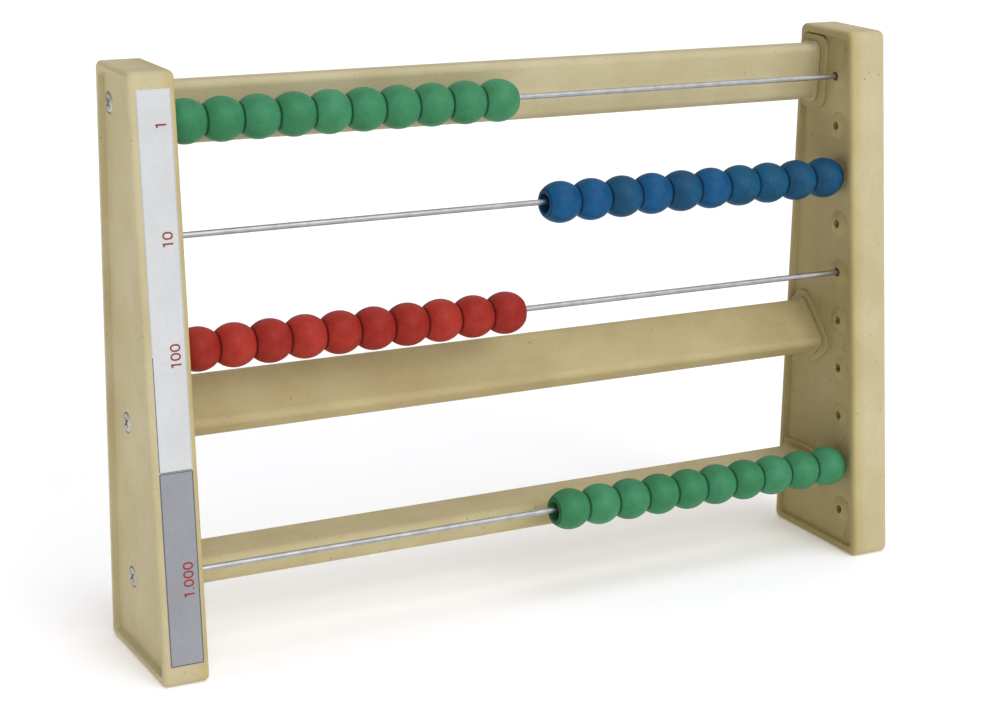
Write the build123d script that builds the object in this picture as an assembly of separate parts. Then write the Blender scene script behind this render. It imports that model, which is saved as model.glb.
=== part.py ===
from build123d import *
from collections import namedtuple
import math
import os

# Driving dimensions, in millimetres.  +X runs along the wires to the right, -Y is the front,
# +Z is up.  The origin is on the floor, under the middle of the bounding box.

# End plates: a mitred block, upright at the back and sloping back at the front.
PLATE_HEIGHT = 214.6
PLATE_THICKNESS = 16.9
PLATE_SPACING = 284.6
FRONT_BOTTOM_Y = -29.83
FRONT_TOP_Y = -4.55
BACK_BOTTOM_Y = 27.52
BACK_TOP_Y = 29.49
PLATE_CORNER_RADIUS = 3.0
PLATE_EDGE_RADIUS = 1.7
RIM_WIDTH = 3.0
INNER_PANEL_DEPTH = 1.75
OUTER_PANEL_DEPTH = 2.2
PANEL_CORNER_RADIUS = 2.0
PANEL_DRAFT = 0.6

# Row of ten wire sockets on the inner face of each plate.
SOCKET_COUNT = 10
SOCKET_PITCH = 20.0
SOCKET_SETBACK = 11.43
FIRST_SOCKET_HEIGHT = 195.88
BOSS_FOOT_DIAMETER = 11.0
BOSS_TOP_DIAMETER = 5.0
BOSS_HEIGHT = 1.2
BOSS_EDGE_RADIUS = 0.3
SOCKET_MOUTH_DIAMETER = 3.6
SOCKET_MOUTH_DEPTH = 2.6
SOCKET_DEPTH = 9.0

# Shallow round marks that the mould's ejector pins leave beside three of the sockets.
EJECTOR_DIAMETER = 5.0
EJECTOR_DEPTH = 0.25
EJECTOR_OFFSET = 4.5
EJECTOR_STATIONS = (6.5, 8.5, 10.5)

# Rails: one section, used three times at three angles, each held by a screw at either end.
RAIL_WIDTH = 22.4
RAIL_THICKNESS = 10.1
RAIL_EDGE_RADIUS = 2.8
RAIL_SEAT_DEPTH = 2.5
RAIL_SEAT_GAP = 0.05
# The rails flare out just before they enter the plates.
FLARE_REACH = 1.1
FLARE_GAP = 0.2
FLARE_LIP = 0.6
FLARE_RADIUS = 1.0
# Pads on the plates around the rails' ends; each rail has its own margin on its broad sides.
PAD_HEIGHT = 1.35
PAD_EDGE_RADIUS = 0.4
PAD_END_MARGIN = 3.8
PAD_CORNER_RADIUS = 5.0
PAD_LIMIT = 2.2
# The angle is the way a rail's screwed edge points, in degrees from +Y to +Z.
Rail = namedtuple("Rail", "name y z angle screw_offset pad_margin")
RAILS = (
    Rail("top_rail", 21.6, 195.9, 90.0, 4.6, 4.9),
    Rail("middle_rail", 13.32, 89.48, 225.0, 3.5, 3.1),
    Rail("bottom_rail", 12.62, 28.94, 180.0, 4.0, 3.1),
)

# Screws: pan head with a cross recess, sunk in the outer face.
SCREW_HEAD_DIAMETER = 7.5
SCREW_HEAD_HEIGHT = 2.2
SCREW_HEAD_EDGE_RADIUS = 1.0
SCREW_SHANK_DIAMETER = 3.5
SCREW_LENGTH = 24.0
SCREW_POINT_LENGTH = 2.0
SCREW_POINT_TAPER = 1.2
COUNTERBORE_DIAMETER = 7.9
COUNTERBORE_DEPTH = 1.9
SCREW_GAP = 0.02
PILOT_END_GAP = 1.0
CROSS_SPAN = 4.6
CROSS_WIDTH = 0.9
CROSS_DEPTH = 1.3
CROSS_ANGLE = 45.0

# Wires and beads.  Sockets 1, 3, 5 and 9, counted from the top, hold the wires.
WIRE_DIAMETER = 2.2
WIRE_GAP = 0.02
WIRE_END_GAP = 0.1
BEAD_DIAMETER = 16.2
BEAD_LENGTH = 13.65
BEAD_LIP_RADIUS = 0.5
BEAD_BORE_DIAMETER = 3.4
BEAD_MOUTH_DIAMETER = 7.5
BEAD_WELL_DIAMETER = 6.7
BEAD_WELL_DEPTH = 4.6
BEAD_GAP = 0.05
# A bead hangs on its wire, so its axis is this much lower.
BEAD_DROP = 0.57
BEADS_PER_WIRE = 10
# The bead next to a plate stops here, where its open end reaches over the boss's cone.
BEAD_STOP_X = 143.1
# Row number, socket number, the side that its beads are pushed to, and how far short of the
# stop they have been left.
ROWS = ((1, 1, -1, 0.5), (2, 3, 1, 0.0), (3, 5, -1, 0.5), (4, 9, 1, 0.0))

# Printed paper strip on the sloping front of the left plate.
LABEL_MARGIN = 2.4
LABEL_WIDTH = 12.45
LABEL_THICKNESS = 0.2
LABEL_BOTTOM = 7.75
LABEL_TOP = 208.9

# Places that follow from the dimensions above.
INNER_FACE_X = PLATE_SPACING / 2
OUTER_FACE_X = INNER_FACE_X + PLATE_THICKNESS
INNER_PANEL_X = INNER_FACE_X + INNER_PANEL_DEPTH
OUTER_PANEL_X = OUTER_FACE_X - OUTER_PANEL_DEPTH
PAD_X = INNER_PANEL_X - PAD_HEIGHT
BOSS_X = INNER_PANEL_X - BOSS_HEIGHT
RAIL_END_X = PAD_X + RAIL_SEAT_DEPTH - RAIL_SEAT_GAP
FLARE_END_X = PAD_X - FLARE_GAP
SOCKET_END_X = BOSS_X + SOCKET_DEPTH
HEAD_SEAT_X = OUTER_PANEL_X - COUNTERBORE_DEPTH
FRONT_RUN = FRONT_TOP_Y - FRONT_BOTTOM_Y
FRONT_SLOPE = math.atan2(FRONT_RUN, PLATE_HEIGHT)


def front_y(height):
    """Y of the plates' sloping front at a height."""
    return FRONT_BOTTOM_Y + FRONT_RUN * height / PLATE_HEIGHT


def socket_centre(number, ahead=0.0):
    """Y and Z of a socket, counted from the top; ahead moves it towards the front."""
    height = FIRST_SOCKET_HEIGHT - (number - 1) * SOCKET_PITCH * math.cos(FRONT_SLOPE)
    setback = (SOCKET_SETBACK - ahead) / math.cos(FRONT_SLOPE)
    return front_y(height) + setback, height


def screw_centre(rail):
    """Y and Z of the screw that holds a rail, near one long edge of its section."""
    turn = math.radians(rail.angle)
    return rail.y + rail.screw_offset * math.cos(turn), rail.z + rail.screw_offset * math.sin(turn)


def side_plane(x):
    """Plane across the wires at x; its own x and y are the object's Y and Z."""
    return Plane.YZ.offset(x)


def x_cylinder(diameter, x_start, x_end, y, z):
    """Cylinder along X."""
    disc = Pos(y, z) * Circle(diameter / 2)
    return extrude(side_plane(x_start) * disc, x_end - x_start)


def plate_outline(inset, corner_radius):
    """Side view of a plate, shrunk by inset."""
    corners = (
        (FRONT_BOTTOM_Y, 0),
        (BACK_BOTTOM_Y, 0),
        (BACK_TOP_Y, PLATE_HEIGHT),
        (FRONT_TOP_Y, PLATE_HEIGHT),
    )
    outline = make_face(Polyline(*corners, close=True))
    if inset:
        outline = offset(outline, -inset, kind=Kind.INTERSECTION)
    return fillet(outline.vertices(), corner_radius)


def panel_cutter(face_x, floor_x):
    """Space above a sunken panel, a little wider at the face than at the floor."""
    mouth = side_plane(face_x) * plate_outline(RIM_WIDTH, PANEL_CORNER_RADIUS)
    floor = side_plane(floor_x) * plate_outline(RIM_WIDTH + PANEL_DRAFT, PANEL_CORNER_RADIUS)
    return loft([floor, mouth])


def plate_blank():
    """Right plate without its relief: rounded block with a sunken panel on each face."""
    block = extrude(side_plane(INNER_FACE_X) * plate_outline(0, PLATE_CORNER_RADIUS), PLATE_THICKNESS)
    rims = block.edges().group_by(Axis.X)
    block = fillet(rims[0] + rims[-1], PLATE_EDGE_RADIUS)
    for face_x, floor_x in ((INNER_FACE_X, INNER_PANEL_X), (OUTER_FACE_X, OUTER_PANEL_X)):
        block -= panel_cutter(face_x, floor_x)
    return block


def rail_section(rail, end_margin, side_margin, corner_radius):
    """Rounded section of a rail at its place in the side view, widened by the margins."""
    width = RAIL_WIDTH + 2 * end_margin
    thickness = RAIL_THICKNESS + 2 * side_margin
    return Pos(rail.y, rail.z) * Rot(0, 0, rail.angle) * RectangleRounded(width, thickness, corner_radius)


def rail_pad(rail):
    """Raised pad around a rail's end with a softened edge, kept inside the plate's rim."""
    face = rail_section(rail, PAD_END_MARGIN, rail.pad_margin, PAD_CORNER_RADIUS)
    pad = extrude(side_plane(PAD_X) * face, PAD_HEIGHT)
    pad = fillet(pad.edges().group_by(Axis.X)[0], PAD_EDGE_RADIUS)
    limit = plate_outline(PAD_LIMIT, PANEL_CORNER_RADIUS)
    return pad & extrude(side_plane(PAD_X) * limit, PAD_HEIGHT)


def socket_boss(number):
    """Low cone around a socket."""
    y, z = socket_centre(number)
    foot = side_plane(INNER_PANEL_X) * Pos(y, z) * Circle(BOSS_FOOT_DIAMETER / 2)
    top = side_plane(BOSS_X) * Pos(y, z) * Circle(BOSS_TOP_DIAMETER / 2)
    cone = loft([top, foot])
    return fillet(cone.edges().group_by(Axis.X)[0], BOSS_EDGE_RADIUS)


def socket_cutter(number):
    """Stepped blind hole for one wire: an open mouth and a close-fitting end."""
    y, z = socket_centre(number)
    mouth = x_cylinder(SOCKET_MOUTH_DIAMETER, BOSS_X, BOSS_X + SOCKET_MOUTH_DEPTH, y, z)
    return mouth + x_cylinder(WIRE_DIAMETER + 2 * WIRE_GAP, BOSS_X, SOCKET_END_X, y, z)


def seat_cutter(rail):
    """Seat for a rail's end, with room for its flare where the plate's rim would be in the way."""
    room = FLARE_REACH + RAIL_SEAT_GAP
    flare = rail_section(rail, room, room, RAIL_EDGE_RADIUS + FLARE_REACH)
    seat = rail_section(rail, RAIL_SEAT_GAP, RAIL_SEAT_GAP, RAIL_EDGE_RADIUS)
    notch = extrude(side_plane(INNER_FACE_X) * flare, PAD_X - INNER_FACE_X)
    return notch + extrude(side_plane(PAD_X) * seat, RAIL_SEAT_DEPTH)


def screw_cutter(rail):
    """Clearance hole and counterbore for one screw."""
    y, z = screw_centre(rail)
    hole = x_cylinder(SCREW_SHANK_DIAMETER + 2 * SCREW_GAP, PAD_X, OUTER_FACE_X, y, z)
    return hole + x_cylinder(COUNTERBORE_DIAMETER, HEAD_SEAT_X, OUTER_FACE_X, y, z)


def right_plate():
    """Complete right end plate."""
    plate = plate_blank()
    for rail in RAILS:
        plate += rail_pad(rail)
    for number in range(1, SOCKET_COUNT + 1):
        plate += socket_boss(number)
    for number in range(1, SOCKET_COUNT + 1):
        plate -= socket_cutter(number)
    for station in EJECTOR_STATIONS:
        y, z = socket_centre(station, EJECTOR_OFFSET)
        plate -= x_cylinder(EJECTOR_DIAMETER, INNER_PANEL_X, INNER_PANEL_X + EJECTOR_DEPTH, y, z)
    for rail in RAILS:
        plate -= seat_cutter(rail)
        plate -= screw_cutter(rail)
    return plate


def flared_bar(rail):
    """Solid rail with a flare at each end."""
    bar = extrude(side_plane(-RAIL_END_X) * rail_section(rail, 0, 0, RAIL_EDGE_RADIUS), 2 * RAIL_END_X)
    rim = rail_section(rail, FLARE_REACH, FLARE_REACH, RAIL_EDGE_RADIUS + FLARE_REACH)
    lip = extrude(side_plane(FLARE_END_X - FLARE_LIP) * rim, FLARE_LIP)
    for flange in (lip, mirror(lip, about=Plane.YZ)):
        seams = new_edges(bar, flange, combined=bar + flange)
        roots = [edge for edge in seams if abs(edge.center().X) < FLARE_END_X - FLARE_LIP / 2]
        bar = fillet(roots, FLARE_RADIUS)
    return bar


def rail_bar(rail):
    """One rail with a pilot hole for the screw in each end."""
    bar = flared_bar(rail)
    y, z = screw_centre(rail)
    tip_x = HEAD_SEAT_X - SCREW_LENGTH - PILOT_END_GAP
    for side in (-1, 1):
        bar -= x_cylinder(SCREW_SHANK_DIAMETER + 2 * SCREW_GAP, side * tip_x, side * RAIL_END_X, y, z)
    return bar


def screw(rail):
    """Screw in the right plate for one rail."""
    y, z = screw_centre(rail)
    head = x_cylinder(SCREW_HEAD_DIAMETER, HEAD_SEAT_X, HEAD_SEAT_X + SCREW_HEAD_HEIGHT, y, z)
    head = fillet(head.edges().group_by(Axis.X)[-1], SCREW_HEAD_EDGE_RADIUS)
    shank = x_cylinder(SCREW_SHANK_DIAMETER, HEAD_SEAT_X - SCREW_LENGTH, HEAD_SEAT_X, y, z)
    shank = chamfer(shank.edges().group_by(Axis.X)[0], SCREW_POINT_LENGTH, SCREW_POINT_TAPER)
    floor_x = HEAD_SEAT_X + SCREW_HEAD_HEIGHT - CROSS_DEPTH
    arms = Rectangle(CROSS_SPAN, CROSS_WIDTH) + Rectangle(CROSS_WIDTH, CROSS_SPAN)
    cross = extrude(side_plane(floor_x) * Pos(y, z) * Rot(0, 0, CROSS_ANGLE) * arms, CROSS_DEPTH)
    return head + shank - cross


def wire(number):
    """Steel wire between the sockets of the two plates."""
    y, z = socket_centre(number)
    end_x = SOCKET_END_X - WIRE_END_GAP
    return x_cylinder(WIRE_DIAMETER, -end_x, end_x, y, z)


def bead_shape():
    """Bead along X: a ball cut flat at both ends, with a wide well around a narrow bore."""
    half = BEAD_LENGTH / 2
    ball = Sphere(BEAD_DIAMETER / 2) & Box(BEAD_LENGTH, BEAD_DIAMETER, BEAD_DIAMETER)
    ball = fillet(ball.edges().filter_by(GeomType.CIRCLE), BEAD_LIP_RADIUS)
    ball -= x_cylinder(BEAD_BORE_DIAMETER, -half, half, 0, 0)
    mouth = side_plane(half) * Circle(BEAD_MOUTH_DIAMETER / 2)
    floor = side_plane(half - BEAD_WELL_DEPTH) * Circle(BEAD_WELL_DIAMETER / 2)
    well = loft([floor, mouth])
    return ball - well - mirror(well, about=Plane.YZ)


def bead_x(side, slack, place):
    """X of a bead's centre; place 1 is the bead nearest the plate on that side."""
    first = BEAD_STOP_X - slack - BEAD_LENGTH / 2
    return side * (first - (place - 1) * (BEAD_LENGTH + BEAD_GAP))


def label_strip():
    """Paper strip on the left plate's front."""
    length = (LABEL_TOP - LABEL_BOTTOM) / math.cos(FRONT_SLOPE)
    middle = (LABEL_TOP + LABEL_BOTTOM) / 2
    strip = Pos(0, -LABEL_THICKNESS / 2, 0) * Box(LABEL_WIDTH, LABEL_THICKNESS, length)
    place = Pos(LABEL_MARGIN + LABEL_WIDTH / 2 - OUTER_FACE_X, front_y(middle), middle)
    return place * Rot(-math.degrees(FRONT_SLOPE), 0, 0) * strip


def save(name, shape):
    """Write one node."""
    export_step(shape, f"parts/{name}.step")


def main():
    os.makedirs("parts", exist_ok=True)
    plate = right_plate()
    save("end_plate_right", plate)
    save("end_plate_left", mirror(plate, about=Plane.YZ))
    for rail in RAILS:
        save(rail.name, rail_bar(rail))
    screws = [screw(rail) for rail in RAILS]
    save("screws_right", Compound(children=screws))
    save("screws_left", Compound(children=[mirror(item, about=Plane.YZ) for item in screws]))
    save("place_value_label", label_strip())
    bead = bead_shape()
    for row, socket, side, slack in ROWS:
        y, z = socket_centre(socket)
        save(f"wire_{row}", wire(socket))
        for place in range(1, BEADS_PER_WIRE + 1):
            save(f"bead_{row}_{place:02d}", Pos(bead_x(side, slack, place), y, z - BEAD_DROP) * bead)


main()
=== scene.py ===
import math
import random

import bpy
from mathutils import Euler, Matrix, Vector


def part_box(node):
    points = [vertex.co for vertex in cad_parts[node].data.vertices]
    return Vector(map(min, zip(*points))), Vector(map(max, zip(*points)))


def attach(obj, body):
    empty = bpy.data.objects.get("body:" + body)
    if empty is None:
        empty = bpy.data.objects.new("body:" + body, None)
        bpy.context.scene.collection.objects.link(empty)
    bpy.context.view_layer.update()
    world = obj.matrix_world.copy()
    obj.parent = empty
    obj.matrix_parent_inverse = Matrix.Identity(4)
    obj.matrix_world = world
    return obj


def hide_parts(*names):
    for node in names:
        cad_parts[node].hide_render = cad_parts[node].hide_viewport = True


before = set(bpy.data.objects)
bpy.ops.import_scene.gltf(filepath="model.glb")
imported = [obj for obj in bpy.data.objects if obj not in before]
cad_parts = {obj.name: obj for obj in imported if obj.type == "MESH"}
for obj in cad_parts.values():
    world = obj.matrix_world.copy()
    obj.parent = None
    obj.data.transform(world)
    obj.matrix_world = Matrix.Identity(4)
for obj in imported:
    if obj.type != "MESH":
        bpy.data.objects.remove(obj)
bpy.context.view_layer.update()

MM = 0.001

# The object's own dimensions, the same as the CAD's, in millimetres.
INNER_FACE_X = 142.3
INNER_PANEL_X = 144.05
PLATE_THICKNESS = 16.9
PLATE_HEIGHT = 214.6
FRONT_BOTTOM_Y = -29.83
FRONT_TOP_Y = -4.55
FRONT_SLOPE = math.atan2(FRONT_TOP_Y - FRONT_BOTTOM_Y, PLATE_HEIGHT)

BEAD_RADIUS = 8.1
BEAD_HALF_LENGTH = 6.825
BEAD_LIP = 0.9
# A moulded bead's shoulders are a little fuller than the CAD's ball: this is the radius of its
# outline along the axis.
BEAD_BARREL_RADIUS = 9.5
BEAD_MOUTH_RADIUS = 3.75
BEAD_MOUTH_ROUND = 0.35
BEAD_WELL_RADIUS = 3.35
BEAD_WELL_DEPTH = 4.6
BEAD_WELL_FILLET = 0.5
BEAD_WELL_STEPS = 4
BEAD_BORE_RADIUS = 1.7
BEAD_BORE_FILLET = 0.3
BEAD_SEGMENTS = 72
FILLET_STEPS = 4
LIP_STEPS = 5
WAIST_STEPS = 18
# Moulded beads aren't quite round: the waist sinks by this much, and a little more on two or
# three sides.  The beads also differ a little in size.
BEAD_SINK = 0.03
BEAD_OVAL = 0.02
BEAD_TRIANGLE = 0.012
BEAD_SINK_START = 5.0
BEAD_SIZES = (0.994, 1.0)
BEADS_PER_ROW = 10
# Rows from the top, with the slot of their beads.
ROW_SLOT = {1: "bead_green", 2: "bead_blue", 3: "bead_red", 4: "bead_green"}

LABEL_LEFT = 2.4
LABEL_RIGHT = 14.85
LABEL_BOTTOM = 7.75
LABEL_SPLIT = 77.2
LABEL_TOP = 208.9
SHEET_THICKNESS = 0.13
SHEET_CORNER = 0.3
SHEET_CORNER_STEPS = 5
INK_THICKNESS = 0.02


# ---------------------------------------------------------------- meshes

def mesh_piece(name, verts, faces, material, smooth=True):
    """New mesh object from vertices in millimetres."""
    mesh = bpy.data.meshes.new(name)
    mesh.from_pydata([Vector(v) * MM for v in verts], [], faces)
    mesh.validate()
    mesh.update()
    mesh.polygons.foreach_set("use_smooth", [smooth] * len(mesh.polygons))
    mesh.materials.append(material)
    piece = bpy.data.objects.new(name, mesh)
    bpy.context.collection.objects.link(piece)
    return piece


def arc(cx, cr, radius, start, end, steps):
    """Points of an arc in the (along the axis, away from the axis) plane, angles in degrees."""
    points = []
    for i in range(steps + 1):
        a = math.radians(start + (end - start) * i / steps)
        points.append((cx + radius * math.cos(a), cr + radius * math.sin(a)))
    return points


def bead_half_profile():
    """Half of a bead's outline, from the middle of its bore round to its waist."""
    floor_x = BEAD_HALF_LENGTH - BEAD_WELL_DEPTH
    bore_end = floor_x - BEAD_BORE_FILLET
    points = [(0.0, BEAD_BORE_RADIUS)]
    bore_r = BEAD_BORE_RADIUS + BEAD_BORE_FILLET
    points += arc(bore_end, bore_r, BEAD_BORE_FILLET, -90, 0, FILLET_STEPS)
    wall_x = floor_x + BEAD_WELL_FILLET
    well_r = BEAD_WELL_RADIUS - BEAD_WELL_FILLET
    points += arc(wall_x, well_r, BEAD_WELL_FILLET, 180, 90, FILLET_STEPS)
    mouth_x = BEAD_HALF_LENGTH - BEAD_MOUTH_ROUND
    for i in range(1, BEAD_WELL_STEPS):
        share = i / BEAD_WELL_STEPS
        r = BEAD_WELL_RADIUS + (BEAD_MOUTH_RADIUS - BEAD_WELL_RADIUS) * share
        points.append((wall_x + (mouth_x - wall_x) * share, r))
    mouth_r = BEAD_MOUTH_RADIUS + BEAD_MOUTH_ROUND
    points += arc(mouth_x, mouth_r, BEAD_MOUTH_ROUND, -90, 0, FILLET_STEPS)
    # The lip is the arc that is tangent to the flat end and to the barrel.
    drop = BEAD_BARREL_RADIUS - BEAD_RADIUS
    lip_x = BEAD_HALF_LENGTH - BEAD_LIP
    lip_r = math.sqrt((BEAD_BARREL_RADIUS - BEAD_LIP) ** 2 - lip_x ** 2) - drop
    meet = math.degrees(math.atan2(lip_r + drop, lip_x))
    points += arc(lip_x, lip_r, BEAD_LIP, 0, meet, LIP_STEPS)
    points += arc(0.0, -drop, BEAD_BARREL_RADIUS, meet, 90, WAIST_STEPS)[1:]
    return points


def bead_mesh_data(rng, size):
    """Vertices and faces of one bead about its own centre, with a slightly uneven moulded skin."""
    half = bead_half_profile()
    loop = half + [(-x, r) for x, r in reversed(half[:-1])][:-1]
    phase = [rng.uniform(0, 2 * math.pi) for _ in range(2)]
    verts, faces = [], []
    count = len(loop)
    for s in range(BEAD_SEGMENTS):
        turn = 2 * math.pi * s / BEAD_SEGMENTS
        oval = BEAD_OVAL * math.cos(2 * turn + phase[0])
        sway = oval + BEAD_TRIANGLE * math.cos(3 * turn + phase[1])
        for x, r in loop:
            share = max(0.0, (r - BEAD_SINK_START) / (BEAD_RADIUS - BEAD_SINK_START))
            rr = (r - share * (BEAD_SINK + sway)) * (size if r > BEAD_SINK_START else 1.0)
            verts.append((x * size, rr * math.cos(turn), rr * math.sin(turn)))
    for s in range(BEAD_SEGMENTS):
        n = (s + 1) % BEAD_SEGMENTS
        for i in range(count):
            j = (i + 1) % count
            faces.append((s * count + i, s * count + j, n * count + j, n * count + i))
    return verts, faces


# ---------------------------------------------------------------- materials

def srgb(r, g, b):
    """Linear colour from 0-255 screen values."""
    def lin(c):
        c /= 255.0
        return c / 12.92 if c <= 0.04045 else ((c + 0.055) / 1.055) ** 2.4
    return (lin(r), lin(g), lin(b), 1.0)


# The mix node's sockets for its factor and its two colours, and for the colour it gives.
MIX_SOCKETS = (0, 6, 7)
MIXED = 2


class Nodes:
    """Short-hand for building one material's node tree."""

    def __init__(self, name):
        self.material = bpy.data.materials.new(name)
        self.material.use_nodes = True
        self.tree = self.material.node_tree
        self.tree.nodes.clear()
        self.out = self.tree.nodes.new("ShaderNodeOutputMaterial")
        self.shader = self.tree.nodes.new("ShaderNodeBsdfPrincipled")
        self.link(self.shader, "BSDF", self.out, "Surface")
        self.coord = self.tree.nodes.new("ShaderNodeTexCoord")

    def link(self, a, output, b, socket):
        """Join one node's output to another's socket."""
        self.tree.links.new(a.outputs[output], b.inputs[socket])

    def set(self, **values):
        """Constant values on the shader's own sockets."""
        for key, value in values.items():
            self.shader.inputs[key.replace("_", " ")].default_value = value

    def mapping(self, scale=(1, 1, 1), location=(0, 0, 0)):
        """The piece's own coordinates, scaled and shifted."""
        node = self.tree.nodes.new("ShaderNodeMapping")
        node.inputs["Scale"].default_value = scale
        node.inputs["Location"].default_value = location
        self.link(self.coord, "Object", node, "Vector")
        return node

    def noise(self, mapping, scale, detail=3.0, rough=0.5, distortion=0.0):
        node = self.tree.nodes.new("ShaderNodeTexNoise")
        node.inputs["Scale"].default_value = scale
        node.inputs["Detail"].default_value = detail
        node.inputs["Roughness"].default_value = rough
        node.inputs["Distortion"].default_value = distortion
        self.link(mapping, "Vector", node, "Vector")
        return node

    def voronoi(self, mapping, scale):
        """Cell pattern; its colour is a random one for each cell."""
        node = self.tree.nodes.new("ShaderNodeTexVoronoi")
        node.inputs["Scale"].default_value = scale
        self.link(mapping, "Vector", node, "Vector")
        return node

    def ramp(self, source, output, stops):
        """Value through a colour ramp; stops are (place, grey or colour)."""
        node = self.tree.nodes.new("ShaderNodeValToRGB")
        while len(node.color_ramp.elements) < len(stops):
            node.color_ramp.elements.new(0.5)
        for element, (place, colour) in zip(node.color_ramp.elements, stops):
            element.position = place
            element.color = colour if isinstance(colour, tuple) else (colour, colour, colour, 1.0)
        self.link(source, output, node, "Fac")
        return node

    def math(self, kind, a, b=None):
        """Sum on one or two inputs; each is a number or a (node, output) pair."""
        node = self.tree.nodes.new("ShaderNodeMath")
        node.operation = kind
        for i, value in enumerate((a, b)):
            if value is None:
                continue
            if isinstance(value, tuple):
                self.tree.links.new(value[0].outputs[value[1]], node.inputs[i])
            else:
                node.inputs[i].default_value = value
        return node

    def split_colour(self, source):
        """The random colour of a pattern's cells as three numbers."""
        node = self.tree.nodes.new("ShaderNodeSeparateColor")
        self.link(source, "Color", node, "Color")
        return node

    def off_middle(self):
        """Distance from the piece's middle along X."""
        node = self.tree.nodes.new("ShaderNodeSeparateXYZ")
        self.link(self.mapping(), "Vector", node, "Vector")
        return self.math("ABSOLUTE", (node, "X"))

    def mix(self, factor, a, b, kind="MIX"):
        """Colour mix; each input is a value, a colour or a (node, output) pair."""
        node = self.tree.nodes.new("ShaderNodeMix")
        node.data_type = "RGBA"
        node.blend_type = kind
        for socket, value in zip(MIX_SOCKETS, (factor, a, b)):
            if isinstance(value, tuple) and isinstance(value[0], bpy.types.Node):
                self.tree.links.new(value[0].outputs[value[1]], node.inputs[socket])
            else:
                node.inputs[socket].default_value = value
        return node

    def bump(self, source, output, distance, strength=1.0, chain=None):
        """Surface relief; chain is another bump that it lies on."""
        node = self.tree.nodes.new("ShaderNodeBump")
        node.inputs["Distance"].default_value = distance
        node.inputs["Strength"].default_value = strength
        self.link(source, output, node, "Height")
        if chain is not None:
            self.link(chain, "Normal", node, "Normal")
        return node


# Share, cell scale, size and colour of the wood grains in the composite.
GRAINS = (
    (0.88, 430.0, 0.16, srgb(124, 100, 62)),
    (0.80, 900.0, 0.2, srgb(158, 138, 96)),
)
GRAIN_EDGE = 0.14
GRAIN_WOBBLE = 0.16
STREAK_SHARE = 0.18
# The plates' inner side gets painted shade, a darker and warmer colour, in full up to the first X and
# none beyond the second.
SHADE_FULL_UP_TO_X = INNER_PANEL_X + 0.1
UNSHADED_FROM_X = INNER_PANEL_X + 1.4


def wood_grains(m, base, colour):
    """Colour with dark wood specks, and the mask of the larger ones.

    A few cells of each cell pattern hold one small dark grain.
    """
    wobble = m.noise(base, 900.0, 2.0)
    masks = []
    for share, scale, size, dark in GRAINS:
        cells = m.voronoi(base, scale)
        pick = m.split_colour(cells)
        chosen = m.math("GREATER_THAN", (pick, "Red"), share)
        edge = m.math("MULTIPLY", (wobble, "Fac"), GRAIN_WOBBLE)
        reach = m.math("ADD", (cells, "Distance"), (edge, "Value"))
        near = m.ramp(reach, "Value", [(size, 1.0), (size + GRAIN_EDGE, 0.0)])
        grain = m.math("MULTIPLY", (chosen, "Value"), (near, "Color"))
        soft = m.math("MULTIPLY", (grain, "Value"), (pick, "Green"))
        colour = m.mix((soft, "Value"), (colour, MIXED), dark)
        masks.append(grain)
    return colour, masks[0]


def composite_material(name, shift, flow, shade_tint, inner_only=False):
    """Beige wood-plastic: cloudy colour, drawn-out flow marks, dark wood specks, fine grain.

    The shade tint, a painted shade, multiplies the colour, on the whole piece or only on a plate's inner
    side.
    """
    m = Nodes(name)
    base = m.mapping(location=shift)
    clouds = m.noise(base, 38.0, 4.0, 0.55)
    cloud_stops = [(0.32, srgb(182, 169, 128)), (0.5, srgb(188, 176, 136)), (0.68, srgb(193, 182, 144))]
    tone = m.ramp(clouds, "Fac", cloud_stops)
    streaks = m.noise(m.mapping(scale=flow, location=shift), 1.0, 5.0, 0.6, 1.3)
    streak_mask = m.ramp(streaks, "Fac", [(0.42, 0.0), (0.66, 1.0)])
    streak_share = m.math("MULTIPLY", (streak_mask, "Color"), STREAK_SHARE)
    colour = m.mix((streak_share, "Value"), (tone, "Color"), srgb(174, 158, 120))
    colour, specks = wood_grains(m, base, colour)
    # Painted shade: the tint darkens and warms the colour.
    shade_tinted = m.mix(1.0, (colour, MIXED), shade_tint, "MULTIPLY")
    if inner_only:
        inside_stops = [(SHADE_FULL_UP_TO_X * MM, 1.0), (UNSHADED_FROM_X * MM, 0.0)]
        inside = m.ramp(m.off_middle(), "Value", inside_stops)
        shade_tinted = m.mix((inside, "Color"), (colour, MIXED), (shade_tinted, MIXED))
    m.link(shade_tinted, MIXED, m.shader, "Base Color")
    rough = m.ramp(m.noise(base, 120.0, 4.0), "Fac", [(0.3, 0.50), (0.7, 0.62)])
    m.link(rough, "Color", m.shader, "Roughness")
    m.set(Specular_IOR_Level=0.24)
    fine = m.noise(base, 1500.0, 3.0, 0.6)
    wavy = m.noise(base, 110.0, 3.0)
    grain_bump = m.bump(fine, "Fac", 0.00005, 0.35)
    wave_bump = m.bump(wavy, "Fac", 0.0004, 0.25, grain_bump)
    speck_bump = m.bump(specks, "Value", -0.00005, 0.5, wave_bump)
    m.link(speck_bump, "Normal", m.shader, "Normal")
    return m.material


DUST_SHARE = 0.04
# How much a pit darkens, and the random value above which a cell holds a pit.
PIT_SHARE = 0.35
PITTED_CELLS_ABOVE = 0.9
# Painted shade where the beads meet: darkest at the second distance along the axis, and less
# on their flat ends.
CONTACT_SHADE_FROM_X = BEAD_HALF_LENGTH - 0.6
CONTACT_SHADE_MOST_X = BEAD_HALF_LENGTH - 0.2
CONTACT_SHADE_SHARE = 0.66
CONTACT_SHADE_END_SHARE = 0.12
CONTACT_SHADE_COLOUR = srgb(24, 26, 26)


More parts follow.
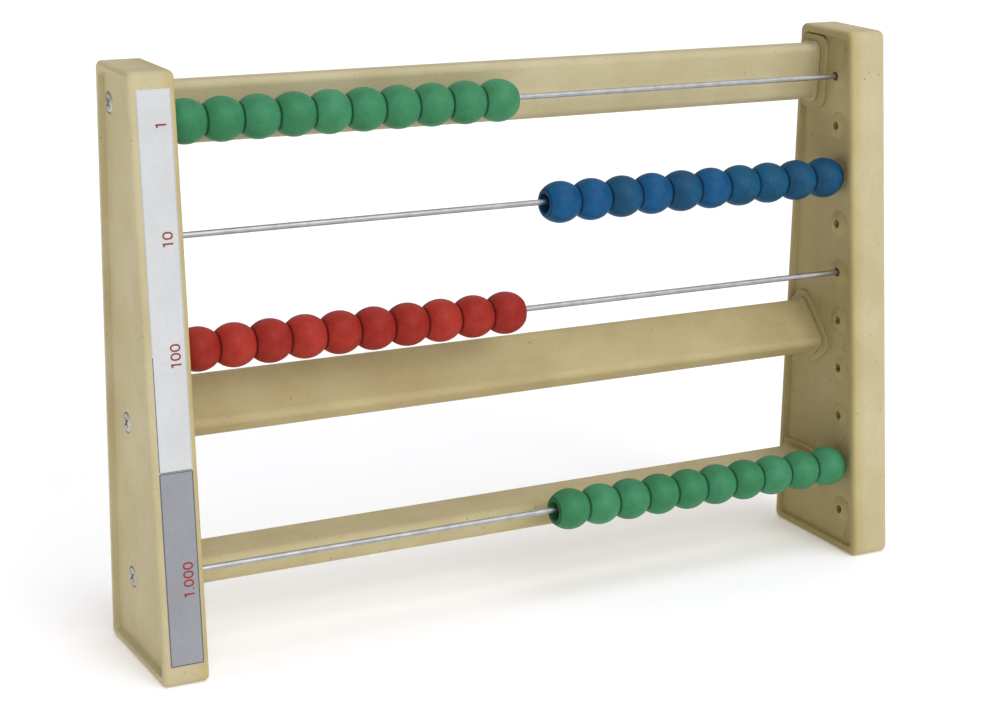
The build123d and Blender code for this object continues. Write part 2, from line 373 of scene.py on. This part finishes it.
def bead_material(name, colour, shadow, seed):
    """Moulded bead plastic: slightly cloudy pigment, satin skin with fine scuffs and pits, and painted
    shade where the beads meet.
    """
    m = Nodes(name)
    shift = (seed * 0.37, seed * 0.71, seed * 0.13)
    base = m.mapping(location=shift)
    clouds = m.noise(base, 170.0, 3.0, 0.55)
    tone = m.ramp(clouds, "Fac", [(0.3, shadow), (0.62, colour)])
    scuffs = m.noise(m.mapping(scale=(2200.0, 420.0, 420.0), location=shift), 1.0, 3.0, 0.65, 0.6)
    scuff_mask = m.ramp(scuffs, "Fac", [(0.58, 0.0), (0.72, 1.0)])
    pits = m.voronoi(base, 520.0)
    pit_near = m.ramp(pits, "Distance", [(0.05, 1.0), (0.2, 0.0)])
    pit_on = m.math("GREATER_THAN", (m.split_colour(pits), "Red"), PITTED_CELLS_ABOVE)
    pit = m.math("MULTIPLY", (pit_near, "Color"), (pit_on, "Value"))
    dust_share = m.math("MULTIPLY", (scuff_mask, "Color"), DUST_SHARE)
    dusty = m.mix((dust_share, "Value"), (tone, "Color"), srgb(190, 200, 200))
    pit_share = m.math("MULTIPLY", (pit, "Value"), PIT_SHARE)
    dark = m.mix((pit_share, "Value"), (dusty, MIXED), shadow)
    # Painted shade towards each end of the bead, where it meets its neighbours.
    share_of_half = m.math("MULTIPLY", (m.off_middle(), "Value"), 1 / (BEAD_HALF_LENGTH * MM))
    contact_shade_start = (CONTACT_SHADE_FROM_X / BEAD_HALF_LENGTH, 0.0)
    contact_shade_peak = (CONTACT_SHADE_MOST_X / BEAD_HALF_LENGTH, CONTACT_SHADE_SHARE)
    contact_shade = m.ramp(share_of_half, "Value", [contact_shade_start, contact_shade_peak, (1.0, CONTACT_SHADE_END_SHARE)])
    contact_shaded = m.mix((contact_shade, "Color"), (dark, MIXED), CONTACT_SHADE_COLOUR)
    m.link(contact_shaded, MIXED, m.shader, "Base Color")
    rough = m.ramp(m.noise(base, 420.0, 4.0), "Fac", [(0.3, 0.42), (0.75, 0.58)])
    m.link(rough, "Color", m.shader, "Roughness")
    m.set(Specular_IOR_Level=0.16)
    skin = m.bump(m.noise(base, 260.0, 3.0), "Fac", 0.00022, 0.3)
    pitted = m.bump(pit, "Value", -0.00012, 0.6, skin)
    m.link(pitted, "Normal", m.shader, "Normal")
    return m.material


def metal_material(name, colour, metallic, rough_low, rough_high, grain, depth):
    """Metal with drawn or plated unevenness; dull oxide makes it less metallic."""
    m = Nodes(name)
    lines = m.noise(m.mapping(scale=grain), 1.0, 4.0, 0.6)
    rough = m.ramp(lines, "Fac", [(0.3, rough_low), (0.7, rough_high)])
    m.link(rough, "Color", m.shader, "Roughness")
    patch = m.noise(m.mapping(), 240.0, 3.0)
    dim = tuple(c * 0.82 for c in colour[:3]) + (1.0,)
    tone = m.ramp(patch, "Fac", [(0.35, dim), (0.6, colour)])
    m.link(tone, "Color", m.shader, "Base Color")
    m.set(Metallic=metallic)
    m.link(m.bump(lines, "Fac", depth, 0.4), "Normal", m.shader, "Normal")
    return m.material


def paper_material(name, light, dark, gloss):
    """Printed paper under a matt film: faint fibre mottling and slight waves."""
    m = Nodes(name)
    base = m.mapping()
    fibre = m.noise(base, 800.0, 4.0, 0.65)
    wash = m.noise(base, 60.0, 2.0)
    both = m.math("MULTIPLY", (fibre, "Fac"), (wash, "Fac"))
    tone = m.ramp(both, "Value", [(0.12, dark), (0.34, light)])
    m.link(tone, "Color", m.shader, "Base Color")
    rough = m.ramp(wash, "Fac", [(0.3, gloss), (0.7, gloss + 0.1)])
    m.link(rough, "Color", m.shader, "Roughness")
    m.link(m.bump(fibre, "Fac", 0.00003, 0.3), "Normal", m.shader, "Normal")
    return m.material


def ink_material(name, colour, dark):
    """Printed ink with slightly uneven density."""
    m = Nodes(name)
    tone = m.ramp(m.noise(m.mapping(), 1400.0, 2.0), "Fac", [(0.35, dark), (0.6, colour)])
    m.link(tone, "Color", m.shader, "Base Color")
    m.set(Roughness=0.55)
    return m.material


# ---------------------------------------------------------------- carried-over CAD nodes

def dress(node, material):
    """Give a CAD node its finished material."""
    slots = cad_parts[node].data.materials
    slots.clear()
    slots.append(material)


# Flow marks run up the plates and along the rails.
FLOW_UPRIGHT = (180.0, 180.0, 62.0)
FLOW_ALONG = (34.0, 220.0, 220.0)
# Painted shade on the plates' inner side: a darker, warmer multiplier.
PLATE_INNER_SHADE_TINT = (0.90, 0.83, 0.62, 1.0)
PLATE_SHIFTS = {"end_plate_left": (0.31, 0.12, 0.05), "end_plate_right": (1.73, 0.42, 0.77)}
# The lower two rails are painted darker and warmer than the top one, as painted shade, most on the middle
# rail under the red beads.
RAIL_LOOKS = {
    "top_rail": ((0.6, 0.0, 0.9), (1.0, 1.0, 1.0, 1.0)),
    "middle_rail": ((1.6, 0.2, 0.9), (0.92, 0.86, 0.72, 1.0)),
    "bottom_rail": ((2.6, 0.4, 0.9), (0.96, 0.93, 0.85, 1.0)),
}
for node, shift in PLATE_SHIFTS.items():
    dress(node, composite_material("composite_" + node, shift, FLOW_UPRIGHT, PLATE_INNER_SHADE_TINT, True))
for node, (shift, shade_tint) in RAIL_LOOKS.items():
    dress(node, composite_material("composite_" + node, shift, FLOW_ALONG, shade_tint))

WIRE_GRAIN = (60.0, 2600.0, 2600.0)
SCREW_GRAIN = (900.0, 900.0, 900.0)
wire_metal = metal_material("wire_steel", srgb(174, 174, 171), 1.0, 0.34, 0.48, WIRE_GRAIN, 0.00002)
screw_metal = metal_material("screw_zinc", srgb(186, 184, 178), 0.55, 0.44, 0.58, SCREW_GRAIN, 0.00003)
for row in ROW_SLOT:
    dress("wire_%d" % row, wire_metal)
for node in ("screws_left", "screws_right"):
    dress(node, screw_metal)

# ---------------------------------------------------------------- beads

# Each colour comes in a few close shades, as beads from different shots do: the shade itself
# and the darker clouds in it.
SHADES = {
    "bead_green": [
        (srgb(60, 130, 88), srgb(53, 118, 76)),
        (srgb(64, 134, 92), srgb(57, 122, 80)),
        (srgb(56, 126, 83), srgb(50, 114, 71)),
    ],
    "bead_blue": [
        (srgb(14, 82, 114), srgb(12, 68, 94)),
        (srgb(12, 82, 128), srgb(10, 68, 106)),
        (srgb(20, 74, 120), srgb(16, 62, 100)),
        (srgb(16, 76, 108), srgb(14, 62, 90)),
    ],
    "bead_red": [
        (srgb(158, 44, 30), srgb(142, 34, 24)),
        (srgb(152, 40, 28), srgb(137, 31, 22)),
        (srgb(163, 47, 33), srgb(147, 37, 26)),
    ],
}
rng = random.Random(41)
bead_materials = {}
for slot, shades in SHADES.items():
    for number, (colour, shadow) in enumerate(shades):
        name = "%s_%d" % (slot, number + 1)
        bead_materials[slot, number] = bead_material(name, colour, shadow, 3 * number + len(slot))

for row, slot in ROW_SLOT.items():
    for place in range(1, BEADS_PER_ROW + 1):
        node = "bead_%d_%02d" % (row, place)
        low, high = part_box(node)
        centre = (low + high) / 2 / MM
        verts, faces = bead_mesh_data(rng, rng.uniform(*BEAD_SIZES))
        turn = Euler((rng.uniform(0, 2 * math.pi), 0, 0)).to_matrix()
        verts = [turn @ Vector(v) for v in verts]
        material = bead_materials[slot, rng.randrange(len(SHADES[slot]))]
        piece = mesh_piece(node + "_skin", verts, faces, material)
        piece.location = centre * MM
        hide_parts(node)
        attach(piece, "row_%d_bead_%02d" % (row, place))

# ---------------------------------------------------------------- place-value label

ALONG = Vector((0, math.sin(FRONT_SLOPE), math.cos(FRONT_SLOPE)))
OUTWARD = Vector((0, -math.cos(FRONT_SLOPE), math.sin(FRONT_SLOPE)))
OUTER_EDGE = Vector((-(INNER_FACE_X + PLATE_THICKNESS), FRONT_BOTTOM_Y, 0))


def on_label(across, height, lift):
    """Point on the left plate's front: across from its outer edge, at a height, lifted off it."""
    return OUTER_EDGE + Vector((across, 0, 0)) + ALONG * (height / math.cos(FRONT_SLOPE)) + OUTWARD * lift


def slab(name, outline, low, high, material):
    """Thin flat piece on the label from an outline of (across, height) points."""
    count = len(outline)
    verts = [on_label(a, h, lift) for lift in (low, high) for a, h in outline]
    faces = [tuple(range(count, 2 * count)), tuple(reversed(range(count)))]
    faces += [(i, (i + 1) % count, count + (i + 1) % count, count + i) for i in range(count)]
    return mesh_piece(name, verts, faces, material, smooth=False)


def rounded_sheet(left, bottom, right, top, radius):
    """Outline of a sheet with rounded corners."""
    corners = ((right - radius, bottom + radius, -90), (right - radius, top - radius, 0),
               (left + radius, top - radius, 90), (left + radius, bottom + radius, 180))
    points = []
    for a, h, start in corners:
        points += arc(a, h, radius, start, start + 90, SHEET_CORNER_STEPS)
    return points


def ribbon(path, width, closed):
    """Quads of an inked stroke along a path of (across, height) points."""
    count = len(path)
    left, right = [], []
    for i, (a, h) in enumerate(path):
        before = path[i - 1] if closed or i else path[i]
        after = path[(i + 1) % count] if closed or i < count - 1 else path[i]
        da, dh = after[0] - before[0], after[1] - before[1]
        size = math.hypot(da, dh)
        na, nh = -dh / size * width / 2, da / size * width / 2
        left.append((a + na, h + nh))
        right.append((a - na, h - nh))
    return left, right


def ink_strokes(name, strokes, lift, material):
    """One flat ink piece from several strokes, each (path, width, closed)."""
    verts, faces = [], []
    for path, width, closed in strokes:
        left, right = ribbon(path, width, closed)
        start = len(verts)
        count = len(path)
        for height in (lift, lift + INK_THICKNESS):
            verts += [on_label(a, h, height) for a, h in left]
            verts += [on_label(a, h, height) for a, h in right]
        for i in range(count if closed else count - 1):
            j = (i + 1) % count
            l0, l1, r0, r1 = start + i, start + j, start + count + i, start + count + j
            up = 2 * count
            faces += [(l0 + up, r0 + up, r1 + up, l1 + up), (l0, l1, r1, r0)]
            faces += [(l0, l0 + up, l1 + up, l1), (r0, r1, r1 + up, r0 + up)]
        if not closed:
            for i, flip in ((0, False), (count - 1, True)):
                quad = (start + i, start + count + i, start + 3 * count + i, start + 2 * count + i)
                faces.append(tuple(reversed(quad)) if flip else quad)
    return mesh_piece(name, verts, faces, material, smooth=False)


def label_piece(piece):
    """Hide the CAD label and attach a piece of the new label to the frame."""
    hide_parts("place_value_label")
    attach(piece, "frame")


PAPER_GLOSS = 0.5
paper_light = paper_material("label_paper_light", srgb(200, 200, 197), srgb(192, 192, 189), PAPER_GLOSS)
paper_grey = paper_material("label_paper_grey", srgb(142, 143, 146), srgb(134, 135, 138), PAPER_GLOSS)
ink_brown = ink_material("numeral_ink_faded", srgb(140, 50, 32), srgb(124, 40, 26))
ink_red = ink_material("numeral_ink", srgb(150, 26, 24), srgb(134, 20, 20))
ink_dark = ink_material("outline_ink", srgb(84, 88, 90), srgb(72, 75, 78))
ink_faint = ink_material("faint_outline_ink", srgb(176, 178, 176), srgb(166, 168, 166))

upper_sheet = rounded_sheet(LABEL_LEFT, LABEL_SPLIT, LABEL_RIGHT, LABEL_TOP, SHEET_CORNER)
lower_sheet = rounded_sheet(LABEL_LEFT, LABEL_BOTTOM, LABEL_RIGHT, LABEL_SPLIT, SHEET_CORNER)
label_piece(slab("label_upper", upper_sheet, 0.0, SHEET_THICKNESS, paper_light))
label_piece(slab("label_lower", lower_sheet, 0.0, SHEET_THICKNESS, paper_grey))

DIGIT_LENGTH = 3.85
STROKE = 0.62
ZERO_HALF_WIDTH = 1.08
ZERO_SQUARENESS = 0.86
ZERO_POINTS = 40
ZERO_PITCH = 3.1
FLAG_DROP = 1.0
FLAG_RUN = 0.6
DOT_LENGTH = 0.5


def zero(left, height):
    """Numeral 0 lying on its side, as all the strip's numerals do."""
    middle = left + DIGIT_LENGTH / 2
    reach = (DIGIT_LENGTH - STROKE) / 2
    points = []
    for i in range(ZERO_POINTS):
        a = 2 * math.pi * i / ZERO_POINTS
        c, s = math.cos(a), math.sin(a)
        across = middle + reach * math.copysign(abs(c) ** ZERO_SQUARENESS, c)
        points.append((across, height + ZERO_HALF_WIDTH * math.copysign(abs(s) ** ZERO_SQUARENESS, s)))
    return points, STROKE, True


def one(left, height):
    """Numeral 1: a stem and a short flag at its top end."""
    stem = ([(left, height), (left + DIGIT_LENGTH, height)], STROKE, False)
    flag = ([(left + STROKE / 2, height), (left + FLAG_RUN, height - FLAG_DROP)], STROKE, False)
    return [stem, flag]


def dot(left, height):
    """Full stop after the thousands."""
    right = left + DIGIT_LENGTH
    return ([(right - DOT_LENGTH, height), (right, height)], STROKE, False)


# Where the figures stand: across from the plate's outer edge, and height, in millimetres.
NUMERALS = {
    "numeral_1": one(8.8, 196.77),
    "numeral_10": one(8.8, 156.39) + [zero(8.8, 159.2)],
    "numeral_100": one(9.15, 114.66) + [zero(9.1, 117.42), zero(9.1, 117.42 + ZERO_PITCH)],
    "numeral_1000": (one(8.9, 33.28) + [dot(8.9, 35.19)]
                     + [zero(8.95, 37.25 + ZERO_PITCH * i) for i in range(3)]),
}
for name, strokes in NUMERALS.items():
    ink = ink_red if name == "numeral_1000" else ink_brown
    label_piece(ink_strokes(name, strokes, SHEET_THICKNESS, ink))

# Outlines: the lower sheet's is printed all round; the upper sheet has a dark line up its left side to a
# height and a faint one above it, running on along its top and right, thinner than the lower's.
LINE_INSET = 0.25
LINE_CORNER = 0.3
LINE_WIDTH = 0.36
SPLIT_LINE_WIDTH = 0.3
UPPER_LINE_WIDTH = 0.3
UPPER_LINE_START = LABEL_SPLIT + 0.6
DARK_LINE_UP_TO = 118.0
FAINT_LINE_GAP = 0.6
left, right = LABEL_LEFT + LINE_INSET, LABEL_RIGHT - LINE_INSET
low, high = LABEL_BOTTOM + LINE_INSET, LABEL_SPLIT - LINE_INSET
split_height = LABEL_SPLIT + LINE_INSET
upper_height = LABEL_TOP - LINE_INSET
upper_frame = [(left, DARK_LINE_UP_TO + FAINT_LINE_GAP), (left, upper_height)]
upper_frame += [(right, upper_height), (right, UPPER_LINE_START)]
# Name, path, width, whether it closes, and ink.
OUTLINES = (
    ("outline_lower", rounded_sheet(left, low, right, high, LINE_CORNER), LINE_WIDTH, True, ink_dark),
    ("outline_split", [(left, split_height), (right, split_height)], SPLIT_LINE_WIDTH, False, ink_dark),
    ("outline_left_dark", [(left, UPPER_LINE_START), (left, DARK_LINE_UP_TO)], UPPER_LINE_WIDTH, False, ink_dark),
    ("outline_upper", upper_frame, UPPER_LINE_WIDTH, False, ink_faint),
)
for name, path, width, closed, ink in OUTLINES:
    label_piece(ink_strokes(name, [(path, width, closed)], SHEET_THICKNESS, ink))

# ---------------------------------------------------------------- stage, light and camera

FLOOR_REACH = 9000.0
FLOOR_GLOW = (1.0, 0.95, 0.86, 1.0)
FLOOR_GLOW_STRENGTH = 0.2


def stage_floor():
    """White floor, glowing a little so that the shadows on it stay faint."""
    m = Nodes("floor_white")
    white_stops = [(0.3, srgb(243, 243, 244)), (0.7, srgb(246, 246, 246))]
    tone = m.ramp(m.noise(m.mapping(), 3.0, 2.0), "Fac", white_stops)
    m.link(tone, "Color", m.shader, "Base Color")
    m.set(Roughness=0.9, Specular_IOR_Level=0.1)
    m.set(Emission_Color=FLOOR_GLOW, Emission_Strength=FLOOR_GLOW_STRENGTH)
    edge = FLOOR_REACH
    verts = [(-edge, -edge, 0), (edge, -edge, 0), (edge, edge, 0), (-edge, edge, 0)]
    floor = mesh_piece("studio_floor", verts, [(0, 1, 2, 3)], m.material, smooth=False)


def way_to(azimuth, elevation):
    """Direction towards a light; azimuth 0 is in front of the object, 90 on its right."""
    a, e = math.radians(azimuth), math.radians(elevation)
    return Vector((math.sin(a) * math.cos(e), -math.cos(a) * math.cos(e), math.sin(e)))


LIGHT_AIM = (0.0, 0.0, 0.1)
SUN_DISTANCE = 3.0


def place_light(name, light, way, distance, middle=LIGHT_AIM):
    """Put a light on the way from the object and aim it back."""
    holder = bpy.data.objects.new(name, light)
    holder.location = Vector(middle) + way * distance
    holder.rotation_euler = (-way).to_track_quat("-Z", "Y").to_euler()
    bpy.context.collection.objects.link(holder)


def broad_light(name, azimuth, elevation, spread, strength, tint):
    """Very large far softbox: even over the whole floor, with soft shadows."""
    light = bpy.data.lights.new(name, "SUN")
    light.angle = math.radians(spread)
    light.energy = strength
    light.color = tint
    place_light(name, light, way_to(azimuth, elevation), SUN_DISTANCE)


def area_light(name, azimuth, elevation, distance, size, power, middle):
    """Softbox of a size near the object."""
    light = bpy.data.lights.new(name, "AREA")
    light.shape = "RECTANGLE"
    light.size, light.size_y = size
    light.energy = power
    place_light(name, light, way_to(azimuth, elevation), distance, middle)


def studio_world(colour, strength):
    """Even light from all around."""
    world = bpy.data.worlds.new("studio")
    world.use_nodes = True
    background = world.node_tree.nodes["Background"]
    background.inputs["Color"].default_value = colour
    background.inputs["Strength"].default_value = strength
    bpy.context.scene.world = world


# Place in metres, direction of view, roll in degrees, lens in millimetres, reach in metres.
CAMERA_PLACE = (-0.40454, -0.71287, 0.33014)
CAMERA_LOOK = (0.46430, 0.84226, -0.27389)
CAMERA_ROLL = 1.302
CAMERA_LENS = 79.730
CAMERA_REACH = 30.0


def camera():
    """Camera in front, on the left and above the object."""
    data = bpy.data.cameras.new("camera")
    data.sensor_width = 36.0
    data.lens = CAMERA_LENS
    data.clip_end = CAMERA_REACH
    holder = bpy.data.objects.new("camera", data)
    holder.location = CAMERA_PLACE
    level = Vector(CAMERA_LOOK).to_track_quat("-Z", "Y").to_matrix()
    holder.rotation_euler = (level @ Matrix.Rotation(math.radians(CAMERA_ROLL), 3, "Z")).to_euler()
    bpy.context.collection.objects.link(holder)
    bpy.context.scene.camera = holder


COOL = (0.97, 1.0, 1.09)
WARM = (1.0, 0.88, 0.7, 1.0)
WORLD_STRENGTH = 0.13
STRIP_SIZE = (0.1, 0.3)
STRIP_AIM = (-0.16, 0.0, 0.12)
STRIP_DISTANCE = 0.45
STRIP_POWER = 0.58
# Name, azimuth, elevation, spread and strength of the far softboxes.
SOFTBOXES = (
    ("softbox_front", 16, 44, 84, 1.75),
    ("softbox_front_core", 8, 34, 30, 0.85),
    ("softbox_back", 150, 62, 90, 1.2),
)

stage_floor()
studio_world(WARM, WORLD_STRENGTH)
for name, azimuth, elevation, spread, strength in SOFTBOXES:
    broad_light(name, azimuth, elevation, spread, strength, COOL)
area_light("strip_left", -90, 0, STRIP_DISTANCE, STRIP_SIZE, STRIP_POWER, STRIP_AIM)
camera()
bpy.context.scene.view_settings.view_transform = "Standard"
